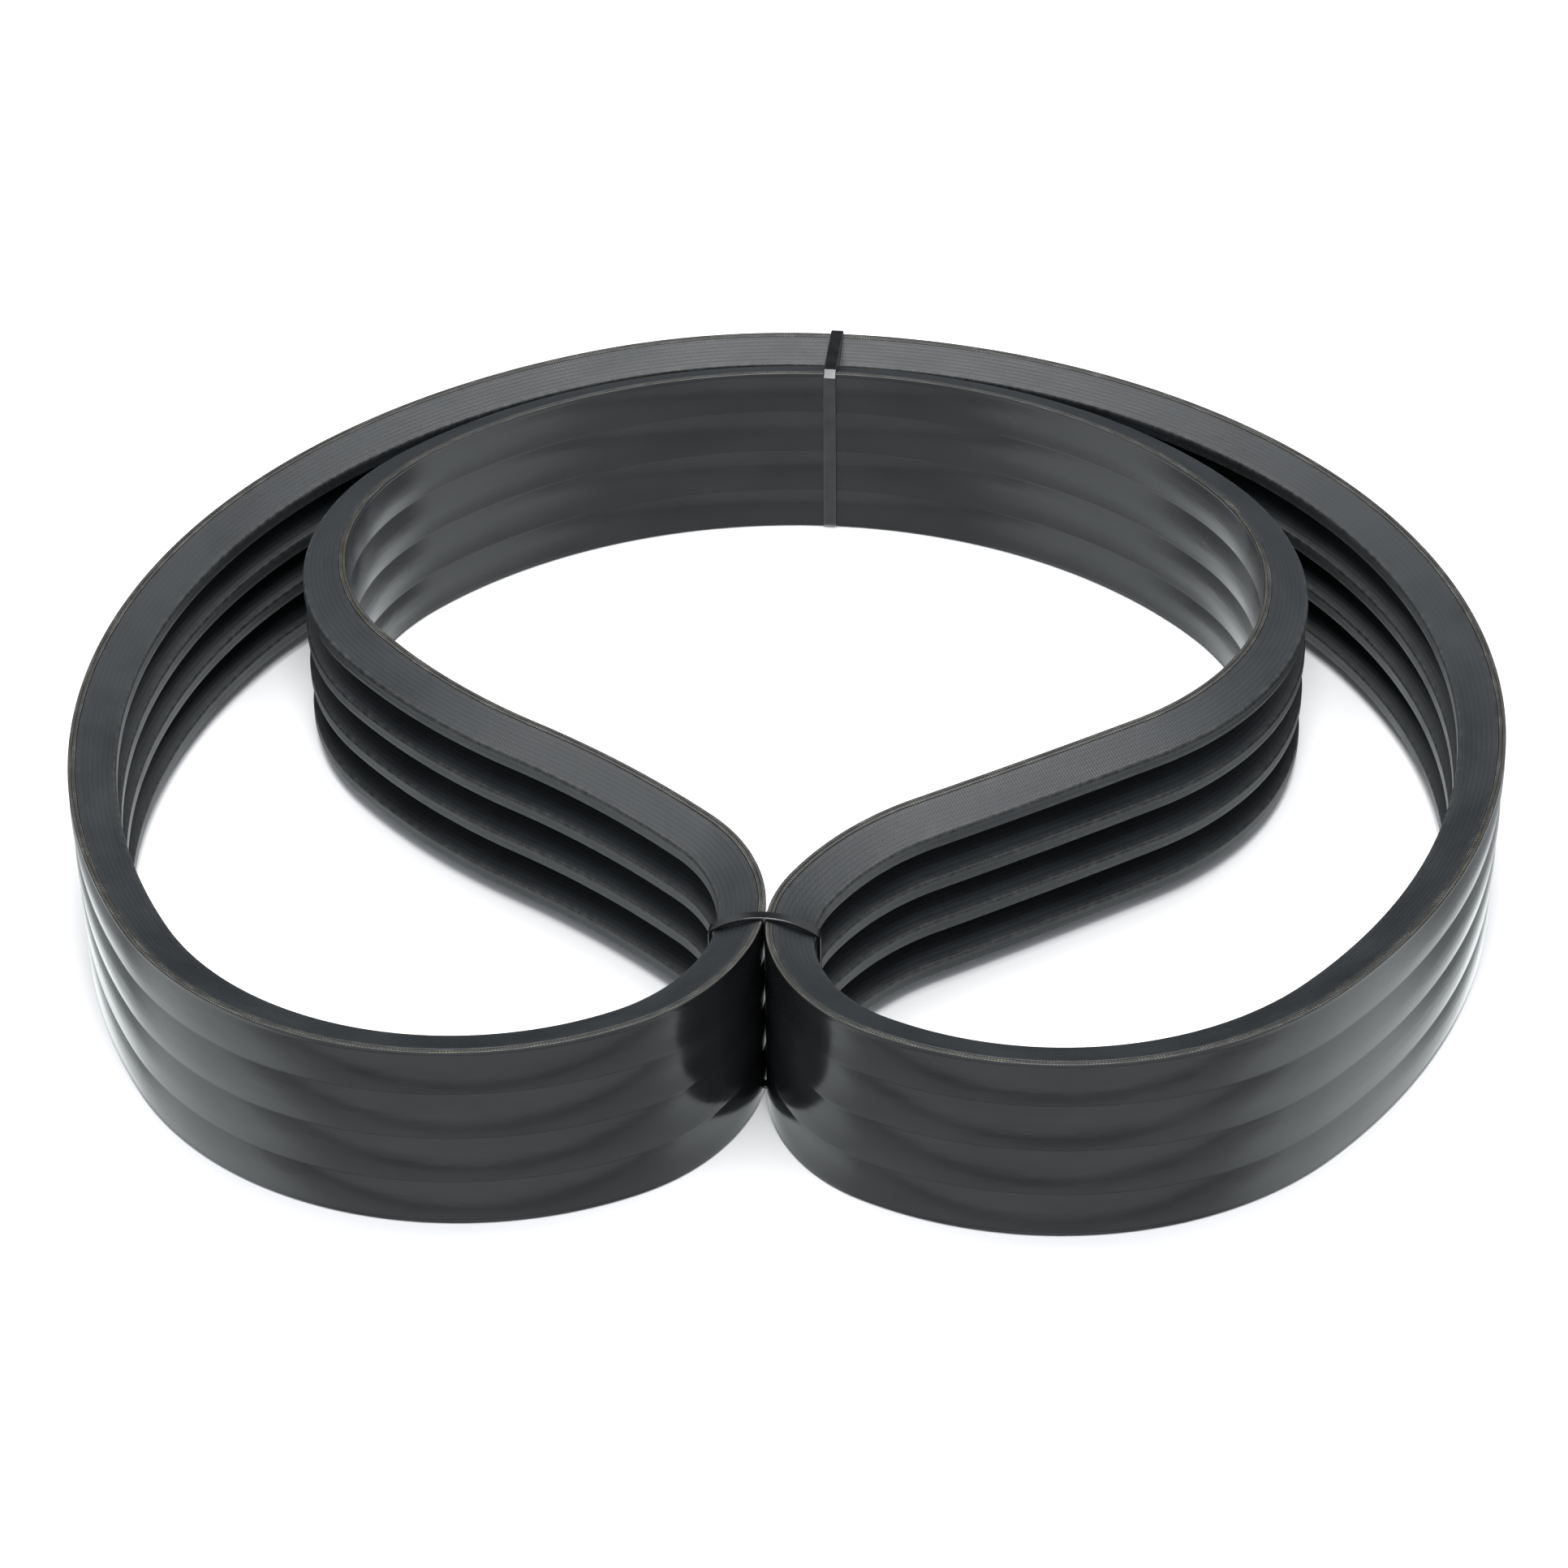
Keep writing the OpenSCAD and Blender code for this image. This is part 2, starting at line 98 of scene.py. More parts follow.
class Fold:
    """The closed chain of tangent arcs that the belt's back follows, in metres."""

    def __init__(self):
        self.turns = np.radians([turn for _, turn in FOLD])
        self.headings = FIRST_HEADING + np.concatenate([[0], np.cumsum(self.turns)])
        self.signs = np.sign(self.turns)
        normals = left_of(self.headings)
        steps = self.signs[:, None] * (normals[:-1] - normals[1:])
        open_arcs = [i for i, (radius, _) in enumerate(FOLD) if radius is None]
        radii = np.array([0 if radius is None else radius * MM for radius, _ in FOLD])
        gap = (radii[:, None] * steps).sum(axis=0)
        radii[open_arcs] = np.linalg.solve(steps[open_arcs].T, -gap)
        self.radii = radii
        self.starts = np.vstack([[0, 0], np.cumsum(radii[:, None] * steps, axis=0)])
        self.lengths = radii * np.abs(self.turns)
        self.length = self.lengths.sum()
        self.place_in_frame()

    def centre(self, arc):
        return self.starts[arc] + self.signs[arc] * self.radii[arc] * left_of(self.headings[arc])

    def place_in_frame(self):
        """Moves the chain to where the CAD's outer ply lies."""
        fronts = [self.centre(arc)[1] - self.radii[arc] for arc in (FRONT_LEFT, FRONT_RIGHT)]
        left = self.centre(SIDE_LEFT)[0] - self.radii[SIDE_LEFT]
        self.starts = self.starts + np.array([BAND_LOW.x - left, BAND_LOW.y - min(fronts)])

    def stations(self, step):
        """Points, left-hand normals and distances along the chain, about one step apart."""
        count = round(self.length / step)
        along = np.arange(count) * self.length / count
        ends = np.cumsum(self.lengths)
        arc = np.minimum(np.searchsorted(ends, along, side="right"), len(FOLD) - 1)
        into = along - (ends - self.lengths)[arc]
        heading = self.headings[arc] + self.signs[arc] * into / self.radii[arc]
        centres = np.array([self.centre(i) for i in range(len(FOLD))])[arc]
        reach = (self.signs * self.radii)[arc][:, None]
        normals = left_of(heading)
        return centres - reach * normals, normals, along

    def back_point(self, arc, x):
        """The point at x on the far side of an arc's circle."""
        centre = self.centre(arc)
        return np.array([x, centre[1] + math.sqrt(self.radii[arc] ** 2 - (x - centre[0]) ** 2)])


FOLD_PATH = Fold()
STATION_STEP = 2.0 * MM

# Depth of the back under the CAD's face at a rib's crown, where a negative one stands proud of it,
# and how much deeper the back lies at a groove
CROWN = -0.26 * MM
RIPPLE = 0.48 * MM

# Half the gap left between the crowns where the noses lean together, and how far the lean reaches
NOSE_PLAY = 0.02 * MM
NOSE_REACH = 22 * MM

WEAR_REACH = 0.9 * MM

# ---------------------------------------------------------------- outlines and sweeps


def rounded(corners, steps=6, longest=1.3 * MM):
    """A closed outline through corners (x, y, radius, wear), with arcs at the corners. Gives its
    points, and how worn each is: wear fades with the distance from a worn corner."""
    points = []
    count = len(corners)
    for i, (x, y, radius, _) in enumerate(corners):
        here = np.array([x, y])
        if radius == 0:
            points.append(here)
            continue
        before = np.array(corners[i - 1][:2]) - here
        after = np.array(corners[(i + 1) % count][:2]) - here
        before /= np.linalg.norm(before)
        after /= np.linalg.norm(after)
        half = math.acos(float(np.clip(before @ after, -1, 1))) / 2
        middle = (before + after) / np.linalg.norm(before + after)
        centre = here + middle * radius / math.sin(half)
        first = here + before * radius / math.tan(half) - centre
        last = here + after * radius / math.tan(half) - centre
        sweep = math.atan2(first[0] * last[1] - first[1] * last[0], float(first @ last))
        for share in np.linspace(0, 1, steps + 1):
            turn = share * sweep
            spin = np.array([[math.cos(turn), -math.sin(turn)], [math.sin(turn), math.cos(turn)]])
            points.append(centre + spin @ first)
    outline = []
    for i, point in enumerate(points):
        toward = points[(i + 1) % len(points)] - point
        pieces = max(1, math.ceil(np.linalg.norm(toward) / longest))
        outline += [point + toward * k / pieces for k in range(pieces)]
    outline = np.array(outline)
    worn = np.zeros(len(outline))
    for x, y, _, wear in corners:
        away = np.linalg.norm(outline - [x, y], axis=1)
        worn = np.maximum(worn, wear * np.exp(-((away / WEAR_REACH) ** 2)))
    return outline, worn


def outline_normals(outline):
    """Outward normals of a counterclockwise outline, where long edges count for more."""
    edges = np.roll(outline, -1, axis=0) - outline
    outward = np.stack([edges[:, 1], -edges[:, 0]], axis=1)
    lengths = np.linalg.norm(edges, axis=1, keepdims=True)
    weighted = outward * lengths
    normals = weighted + np.roll(weighted, 1, axis=0)
    return normals / np.linalg.norm(normals, axis=1, keepdims=True)


class Sweep:
    """Quads of one or more outlines carried along a line of frames, gathered into one mesh."""

    def __init__(self, name):
        self.name = name
        self.vertices = []
        self.normals = []
        self.faces = []
        self.uvs = []
        self.layers = {}
        self.count = 0

    def add(self, origins, depths, widths, along, outline, closed=True, shape=None, **layers):
        """Carries an outline along frames of origin, depth axis and width axis. shape can bend the
        outline by the place along the line. layers are values for each point of the outline."""
        rows, columns = len(origins), len(outline)
        flat = np.broadcast_to(outline, (rows, columns, 2))
        bent = flat if shape is None else shape(flat, along[:, None])
        points = (
            origins[:, None, :]
            + bent[..., :1] * depths[:, None, :]
            + bent[..., 1:] * widths[:, None, :]
        )
        flat_normals = outline_normals(bent[0] if shape is None else bent[rows // 2])
        normals = (
            flat_normals[None, :, :1] * depths[:, None, :]
            + flat_normals[None, :, 1:] * widths[:, None, :]
        )
        self.vertices.append(points.reshape(-1, 3))
        self.normals.append(normals.reshape(-1, 3))
        row = np.arange(rows if closed else rows - 1)
        column = np.arange(columns)
        r, c = np.meshgrid(row, column, indexing="ij")
        next_r, next_c = (r + 1) % rows, (c + 1) % columns
        corners = [r * columns + c, r * columns + next_c, next_r * columns + next_c, next_r * columns + c]
        faces = self.count + np.stack(corners, axis=-1).reshape(-1, 4)
        around = np.concatenate([[0], np.cumsum(np.linalg.norm(np.roll(outline, -1, 0) - outline, axis=1))])
        step = along[1] - along[0] if closed else 0
        ends = np.append(along, along[-1] + step)
        u = np.stack([ends[r], ends[r], ends[r + 1], ends[r + 1]], axis=-1)
        v = np.stack([around[c], around[c + 1], around[c + 1], around[c]], axis=-1)
        self.faces += faces.tolist()
        self.uvs.append(np.stack([u, v], axis=-1).reshape(-1, 2))
        for layer, values in layers.items():
            self.layers.setdefault(layer, []).append(np.tile(values, rows))
        if not closed:
            self.cap(columns, self.count, flip=True)
            self.cap(columns, self.count + (rows - 1) * columns, flip=False)
        self.count += rows * columns

    def cap(self, columns, first, flip):
        ring = list(range(first, first + columns))
        self.faces.append(ring if not flip else ring[::-1])
        self.uvs.append(np.zeros((columns, 2)))

    def build(self, material):
        mesh = bpy.data.meshes.new(self.name)
        mesh.from_pydata(np.vstack(self.vertices).tolist(), [], self.faces)
        uv = mesh.uv_layers.new(name="belt")
        uv.data.foreach_set("uv", np.vstack(self.uvs).astype(np.float32).ravel())
        for layer, values in self.layers.items():
            attribute = mesh.attributes.new(layer, "FLOAT", "POINT")
            attribute.data.foreach_set("value", np.concatenate(values).astype(np.float32))
        mesh.shade_smooth()
        mesh.normals_split_custom_set_from_vertices(np.vstack(self.normals).tolist())
        return finished(bpy.data.objects.new(self.name, mesh), material)


def finished(piece, material):
    """Links a piece, gives it its material and lets it ride on the belt."""
    if piece.name not in bpy.context.scene.collection.objects:
        bpy.context.scene.collection.objects.link(piece)
    piece.data.materials.clear()
    piece.data.materials.append(material)
    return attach(piece, BODY)


def wander(along, size, seed, waves=7):
    """A smooth random value along the belt that comes back to itself after one turn."""
    chance = np.random.default_rng(seed)
    value = np.zeros_like(along)
    for wave in range(1, waves + 1):
        phase = chance.uniform(0, 2 * math.pi)
        turns = wave + chance.integers(0, 3)
        value = value + np.sin(2 * math.pi * turns * along / FOLD_PATH.length + phase) / math.sqrt(waves)
    return size * value


def belt_frames():
    """Frames along the belt's back, eased outward where the two noses lean on each other."""
    points, normals, along = FOLD_PATH.stations(STATION_STEP)
    left, right = FOLD_PATH.centre(NOSE_LEFT), FOLD_PATH.centre(NOSE_RIGHT)
    reach = np.linalg.norm(right - left)
    gap = reach - FOLD_PATH.radii[NOSE_LEFT] - FOLD_PATH.radii[NOSE_RIGHT]
    contact = left + (right - left) / reach * (FOLD_PATH.radii[NOSE_LEFT] + gap / 2)
    away = np.linalg.norm(points - contact, axis=1, keepdims=True)
    lean = (gap / 2 + CROWN - NOSE_PLAY) * np.exp(-((away / NOSE_REACH) ** 2))
    points = points - lean * normals
    flat = np.zeros((len(points), 1))
    origins = np.hstack([points, flat])
    depths = np.hstack([normals, flat])
    widths = np.tile([0.0, 0.0, 1.0], (len(points), 1))
    return origins, depths, widths, along


# ---------------------------------------------------------------- shader building blocks


class NodeTree:
    """Short names for the nodes of one tree."""

    def __init__(self, tree):
        self.nodes = tree.nodes
        self.links = tree.links

    def feed(self, socket, value):
        if isinstance(value, bpy.types.NodeSocket):
            self.links.new(value, socket)
        elif isinstance(value, tuple) and len(value) == 3 and len(socket.default_value) == 4:
            socket.default_value = (*value, 1)
        else:
            socket.default_value = value

    def math(self, operation, *values):
        node = self.nodes.new("ShaderNodeMath")
        node.operation = operation
        for socket, value in zip(node.inputs, values):
            self.feed(socket, value)
        return node.outputs[0]

    def ramp(self, value, low, high, to_low=0.0, to_high=1.0):
        node = self.nodes.new("ShaderNodeMapRange")
        node.interpolation_type = "SMOOTHSTEP"
        self.feed(node.inputs["Value"], value)
        limits = {"From Min": low, "From Max": high, "To Min": to_low, "To Max": to_high}
        for socket, limit in limits.items():
            node.inputs[socket].default_value = limit
        return node.outputs["Result"]

    def split(self, place):
        node = self.nodes.new("ShaderNodeSeparateXYZ")
        self.links.new(place, node.inputs[0])
        return node.outputs["X"], node.outputs["Y"], node.outputs["Z"]


class Shader(NodeTree):
    """A node material around one Principled shader."""

    def __init__(self, name):
        self.material = bpy.data.materials.new(name)
        self.material.use_nodes = True
        super().__init__(self.material.node_tree)
        self.bsdf = self.nodes["Principled BSDF"]

    def set(self, **values):
        for name, value in values.items():
            self.feed(self.bsdf.inputs[name.replace("_", " ")], value)

    def mix(self, share, first, second):
        """A blend of two colours. The node has sockets of one name for each data type, so the
        colours' are found by number."""
        node = self.nodes.new("ShaderNodeMix")
        node.data_type = "RGBA"
        self.feed(node.inputs[0], share)
        self.feed(node.inputs[6], first)
        self.feed(node.inputs[7], second)
        return node.outputs[2]

    def layer(self, name):
        node = self.nodes.new("ShaderNodeAttribute")
        node.attribute_name = name
        return node.outputs["Fac"]

    def belt_place(self):
        node = self.nodes.new("ShaderNodeUVMap")
        node.uv_map = "belt"
        return node.outputs[0]

    def object_place(self):
        return self.nodes.new("ShaderNodeTexCoord").outputs["Object"]

    def stretched(self, place, x, y, z=1.0):
        node = self.nodes.new("ShaderNodeMapping")
        self.links.new(place, node.inputs["Vector"])
        node.inputs["Scale"].default_value = (x, y, z)
        return node.outputs[0]

    def noise(self, place, scale, detail=3.0, rough=0.55):
        node = self.nodes.new("ShaderNodeTexNoise")
        self.links.new(place, node.inputs["Vector"])
        node.inputs["Scale"].default_value = scale
        node.inputs["Detail"].default_value = detail
        node.inputs["Roughness"].default_value = rough
        return node.outputs["Fac"]

    def weave(self, place, along, across, unrest):
        """A wide-angle weave, from 0 in the gaps to 1 on the threads."""
        x, y, _ = self.split(place)
        shake = self.noise(place, 900.0, detail=2.0)
        shaken = self.math("MULTIPLY", shake, unrest)
        turns_x = self.math("MULTIPLY_ADD", x, 2 * math.pi / along, shaken)
        turns_y = self.math("MULTIPLY_ADD", y, 2 * math.pi / across, shaken)
        difference = self.math("SUBTRACT", self.math("COSINE", turns_x), self.math("COSINE", turns_y))
        return self.math("MULTIPLY_ADD", difference, 0.25, 0.5)

    def bump(self, *heights):
        """Bumps from (height, distance) pairs, one on top of the other."""
        normal = None
        for height, distance in heights:
            node = self.nodes.new("ShaderNodeBump")
            node.inputs["Distance"].default_value = distance
            self.links.new(height, node.inputs["Height"])
            if normal is not None:
                self.links.new(normal, node.inputs["Normal"])
            normal = node.outputs["Normal"]
        self.links.new(normal, self.bsdf.inputs["Normal"])


# ---------------------------------------------------------------- materials

COVER_DARK = (0.0060, 0.0076, 0.0090)
COVER_LIGHT = (0.0150, 0.0182, 0.0208)
WORN_EDGE = (0.050, 0.048, 0.043)
THREAD_FLECK = (0.16, 0.155, 0.14)
BACK_DARK = (0.0035, 0.0040, 0.0045)
BACK_LIGHT = (0.0080, 0.0086, 0.0090)
CUT_DARK = (0.0090, 0.0086, 0.0076)
CUT_LIGHT = (0.026, 0.0250, 0.0220)
NYLON = (0.0034, 0.0034, 0.0037)
WEAVE_ALONG = 1.0 * MM
WEAVE_ACROSS = 1.7 * MM


def cover_fabric():
    """The rubberised wide-angle fabric wrapped round each rib, rubbed lighter along its corners."""
    s = Shader("cover_fabric")
    place = s.belt_place()
    weave = s.weave(place, WEAVE_ALONG, WEAVE_ACROSS, 3.0)
    mottle = s.noise(s.stretched(place, 1.0, 2.0), 28.0, detail=4.0)
    grain = s.noise(place, 2600.0, detail=2.0)
    tone = s.math("MULTIPLY_ADD", weave, 0.40, s.math("MULTIPLY", mottle, 0.75))
    cloth = s.mix(s.ramp(tone, 0.30, 0.95), COVER_DARK, COVER_LIGHT)
    rub = s.math("MULTIPLY", s.layer("wear"), s.ramp(s.noise(place, 320.0, detail=4.0), 0.35, 0.70))
    worn = s.mix(s.math("MULTIPLY", rub, 0.75), cloth, WORN_EDGE)
    specks = s.ramp(s.noise(s.stretched(place, 1.0, 0.6), 1500.0, detail=1.0), 0.66, 0.76)
    fleck = s.math("MULTIPLY", specks, rub)
    scratch = s.ramp(s.noise(s.stretched(place, 14.0, 300.0), 1.0, detail=2.0), 0.74, 0.80)
    marks = s.math("ADD", fleck, s.math("MULTIPLY", scratch, 0.18))
    s.set(
        Base_Color=s.mix(marks, worn, THREAD_FLECK),
        Roughness=s.ramp(s.math("ADD", mottle, s.math("MULTIPLY", grain, 0.3)), 0.35, 0.95, 0.36, 0.50),
        Sheen_Weight=0.02,
        Sheen_Roughness=0.45,
        Specular_IOR_Level=0.42,
    )
    s.bump((weave, 0.045 * MM), (grain, 0.020 * MM), (mottle, 0.25 * MM))
    return s.material


def band_fabric():
    """The tie band's ply: a smooth calendered back, and cut edges that show its threads."""
    s = Shader("band_fabric")
    place = s.belt_place()
    mottle = s.noise(s.stretched(place, 1.0, 2.0), 22.0, detail=4.0)
    streak = s.noise(s.stretched(place, 6.0, 260.0), 1.0, detail=3.0)
    grain = s.noise(place, 2200.0, detail=2.0)
    smooth = s.mix(s.ramp(mottle, 0.3, 0.7), BACK_DARK, BACK_LIGHT)
    cut = s.layer("cut")
    threads = s.weave(place, WEAVE_ALONG, 0.8 * MM, 4.0)
    patchy = s.noise(place, 120.0, detail=4.0)
    edge = s.mix(s.ramp(s.math("ADD", threads, patchy), 0.6, 1.4), CUT_DARK, CUT_LIGHT)
    fleck = s.math("MULTIPLY", s.ramp(s.math("MULTIPLY", threads, patchy), 0.40, 0.56), cut)
    colour = s.mix(cut, smooth, edge)
    rough_back = s.ramp(s.math("ADD", streak, s.math("MULTIPLY", grain, 0.2)), 0.3, 0.95, 0.14, 0.22)
    rough = s.math("ADD", rough_back, s.math("MULTIPLY", cut, 0.30))
    s.set(
        Base_Color=s.mix(s.math("MULTIPLY", fleck, 0.8), colour, THREAD_FLECK),
        Roughness=rough,
        Specular_IOR_Level=0.5,
    )
    s.bump(
        (s.math("MULTIPLY", threads, cut), 0.10 * MM), (grain, 0.006 * MM),
        (streak, 0.02 * MM), (mottle, 0.20 * MM),
    )
    return s.material


def moulded_nylon():
    """Black moulded nylon with a faint flow grain."""
    s = Shader("moulded_nylon")
    place = s.object_place()
    grain = s.noise(place, 1800.0, detail=3.0)
    flow = s.noise(place, 160.0, detail=3.0)
    s.set(
        Base_Color=s.mix(s.ramp(flow, 0.3, 0.7), NYLON, tuple(2.2 * c for c in NYLON)),
        Roughness=s.ramp(s.math("ADD", flow, s.math("MULTIPLY", grain, 0.3)), 0.3, 1.0, 0.16, 0.24),
        Specular_IOR_Level=0.85,
    )
    s.bump((grain, 0.004 * MM), (flow, 0.03 * MM))
    return s.material


def plain_rubber(name, dark, light, fibres=0.0):
    """A rubber compound inside a rib, which shows only where the belt is cut open."""
    s = Shader(name)
    place = s.object_place()
    speck = s.noise(place, 1400.0, detail=3.0)
    cloud = s.noise(place, 90.0, detail=3.0)
    tone = s.math("MULTIPLY_ADD", speck, 0.5, s.math("MULTIPLY", cloud, 0.5))
    fibre = s.ramp(s.noise(s.stretched(place, 1.0, 1.0, 9.0), 700.0, detail=1.0), 0.62, 0.72)
    base = s.mix(s.ramp(tone, 0.35, 0.65), dark, light)
    s.set(
        Base_Color=s.mix(s.math("MULTIPLY", fibre, fibres), base, THREAD_FLECK),
        Roughness=s.ramp(tone, 0.3, 0.7, 0.55, 0.75),
    )
    s.bump((speck, 0.02 * MM))
    return s.material


def twisted_cord():
    """Pale polyester cord with the slant of its twist."""
    s = Shader("twisted_cord")
    place = s.object_place()
    x, y, _ = s.split(place)
    slant = s.math("ADD", s.math("MULTIPLY", x, 2400.0), s.math("MULTIPLY", y, 2400.0))
    twist = s.math("MULTIPLY_ADD", s.math("SINE", slant), 0.5, 0.5)
    fuzz = s.noise(place, 2500.0, detail=2.0)
    s.set(
        Base_Color=s.mix(s.math("MULTIPLY", twist, fuzz), (0.20, 0.165, 0.11), (0.55, 0.49, 0.37)),
        Roughness=s.ramp(fuzz, 0.3, 0.7, 0.65, 0.85),
    )
    s.bump((twist, 0.10 * MM))
    return s.material


def floor_paper():
    """Pale, matt studio paper."""
    s = Shader("floor_paper")
    tone = s.noise(s.object_place(), 6.0, detail=2.0)
    s.set(
        Base_Color=s.mix(tone, (0.88, 0.88, 0.88), (0.91, 0.91, 0.91)),
        Roughness=s.ramp(tone, 0.3, 0.7, 0.80, 0.90),
        Specular_IOR_Level=0.2,
    )
    return s.material


# ---------------------------------------------------------------- the tie band

LIP = 0.14 * MM
LIP_INSET = 0.5 * MM
LIP_REACH = 0.7 * MM
RIPPLE_GRID = 0.05 * MM
CREASE_REACH = 0.40 * MM
CREASE_SAMPLES = 40
BACK_CORNER = 0.35 * MM
PLY_CORNER = 0.34 * MM


def back_ripple(height):
    """How deep the band's back lies under its crowns: a shallow pillow over each rib, a soft
    crease over each groove, and a lip along each edge."""
    grid = np.arange(-2 * MM, WIDTH + 2 * MM, RIPPLE_GRID)
    rib = np.clip(np.round((grid - RIB_TOP / 2) / PITCH), 0, RIBS - 1)
    share = (grid - RIB_TOP / 2 - rib * PITCH) / (PITCH / 2)
    pillow = RIPPLE * share ** 2
    samples = np.arange(-CREASE_SAMPLES, CREASE_SAMPLES + 1)
    window = np.exp(-((samples * RIPPLE_GRID / CREASE_REACH) ** 2))
    padded = np.pad(pillow, CREASE_SAMPLES, mode="edge")
    soft = np.convolve(padded, window / window.sum(), mode="valid")
    edge = np.minimum(grid, WIDTH - grid)
    lip = LIP * np.exp(-(((edge - LIP_INSET) / LIP_REACH) ** 2))
    return np.interp(height, grid, soft - lip)


def outer_ply(material):
    """The outer ply's visible shape, with its rippled back."""
    rib_steps = np.array([-1, -0.96, -0.9, -0.8, -0.62, -0.4, -0.15, 0.15, 0.4, 0.62, 0.8, 0.9, 0.96])
    heights = np.concatenate([rib_middle(rib) + rib_steps * PITCH / 2 for rib in range(RIBS)])
    lip_heights = np.array([0.7, 1.0, 1.4, 1.9, 2.5]) * MM
    heights = np.concatenate([lip_heights, heights, WIDTH - lip_heights])
    inside = (heights > 0.6 * MM) & (heights < WIDTH - 0.6 * MM)
    heights = np.unique(np.round(heights[inside], 6))[::-1]
    arc = np.radians(np.linspace(0, 90, 6))
    r = BACK_CORNER
    top_back = [(r - r * math.sin(a), WIDTH - r + r * math.cos(a)) for a in arc]
    low_back = [(r - r * math.cos(a), r - r * math.sin(a)) for a in arc]
    p = PLY_CORNER
    low_front = [(PLY - p + p * math.sin(a), p - p * math.cos(a)) for a in arc]
    top_front = [(PLY - p + p * math.cos(a), WIDTH - p + p * math.sin(a)) for a in arc]
    inner = [(PLY, height) for height in np.linspace(p, WIDTH - p, 9)[1:-1]]
    back = [(0.0, height) for height in heights]
    fading = np.linspace(1, 0.15, len(arc))
    sides = [
        (top_back, fading), (back, 0.0), (low_back, fading[::-1]),
        (low_front, 1.0), (inner, 0.3), (top_front, 1.0),
    ]
    outline = np.array([point for points, _ in sides for point in points])
    cut = np.concatenate([np.broadcast_to(value, len(points)) for points, value in sides])

    def shape(flat, along):
        depth, height = flat[..., 0], flat[..., 1]
        swell = 1 + wander(along, size=0.20, seed=11)
        share = np.clip(1 - depth / PLY, 0, 1)
        edge = np.clip(np.abs(height / WIDTH - 0.5) * 2 - 0.98, 0, 1) / 0.02
        droop = (0.05 * MM + wander(along, size=0.04 * MM, seed=5)) * edge * np.sign(height - WIDTH / 2)
        back = CROWN + back_ripple(height) * swell
        return np.stack([depth + share * back, height - droop], axis=-1)

    sweep = Sweep("tie_band_back")
    sweep.add(*belt_frames(), outline, shape=shape, cut=cut)
    piece = sweep.build(material)
    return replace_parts(piece, "tie_band_outer_ply")


def inner_ply(material):
    """The inner ply, whose edges and groove floors show."""
    top = PLY + BOND
    bottom = 2 * PLY
    inset = RIB_TOP / 2 - half_width(bottom)
    start = RIB_TOP / 2 - half_width(top)
    corners = [
        (top, start, 0.25 * MM, 1), (bottom, inset, 0.35 * MM, 1),
        (bottom, WIDTH - inset, 0.35 * MM, 1), (top, WIDTH - start, 0.25 * MM, 1),
    ]
    outline, _ = rounded(corners, steps=5, longest=3 * MM)
    edge = np.minimum(outline[:, 1], WIDTH - outline[:, 1])
    cut = np.where(edge < 1.1 * MM, 1.0, 0.55)

    def shape(flat, along):
        height = flat[..., 1]
        edge = np.clip(np.abs(height / WIDTH - 0.5) * 2 - 0.96, 0, 1) / 0.04
        trim = 0.16 * MM + wander(along, size=0.05 * MM, seed=23, waves=40)
        ragged = trim * edge * np.sign(height - WIDTH / 2)
        return np.stack([flat[..., 0], height - ragged], axis=-1)

    sweep = Sweep("tie_band_inner")
    sweep.add(*belt_frames(), outline, shape=shape, cut=cut)
    piece = sweep.build(material)
    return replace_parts(piece, "tie_band_inner_ply")


# ---------------------------------------------------------------- the ribs


def rib_cover(rib, material):
    """A rib's wrapped cover: soft worn tip corners outside, and the filling's room inside."""
    middle = rib_middle(rib)
    wide, narrow = half_width(COVER_TOP), half_width(BELT_HEIGHT)
    outside = [
        (COVER_TOP, middle - wide, 0.3 * MM, 0.4), (BELT_HEIGHT, middle - narrow, TIP_RADIUS, 1.0),
        (BELT_HEIGHT, middle + narrow, TIP_RADIUS, 1.0), (COVER_TOP, middle + wide, 0.3 * MM, 0.4),
    ]
    top, bottom = COVER_TOP + COVER, BELT_HEIGHT - COVER
    inset = COVER / math.cos(FLANK)
    inside = [
        (top, middle - half_width(top) + inset), (top, middle + half_width(top) - inset),
        (bottom, middle + half_width(bottom) - inset), (bottom, middle - half_width(bottom) + inset),
    ]
    outline, wear = rounded(outside, steps=6, longest=1.3 * MM)
    cavity = np.array(inside)

    def shape(flat, along):
        bulge = wander(along, size=0.05 * MM, seed=31 + rib)
        share = np.clip((flat[..., 0] - COVER_TOP) / (BELT_HEIGHT - COVER_TOP), 0, 1)
        depth = flat[..., 0] - np.abs(bulge) * share
        return np.stack([depth, flat[..., 1] + 0.4 * bulge * share], axis=-1)

    sweep = Sweep(f"rib_{rib + 1}_wrap")
    sweep.add(*belt_frames(), outline, shape=shape, wear=wear)
    sweep.add(*belt_frames(), cavity, wear=np.zeros(len(cavity)))
    piece = sweep.build(material)
    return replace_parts(piece, f"rib_{rib + 1}_cover")


# ---------------------------------------------------------------- the cable ties


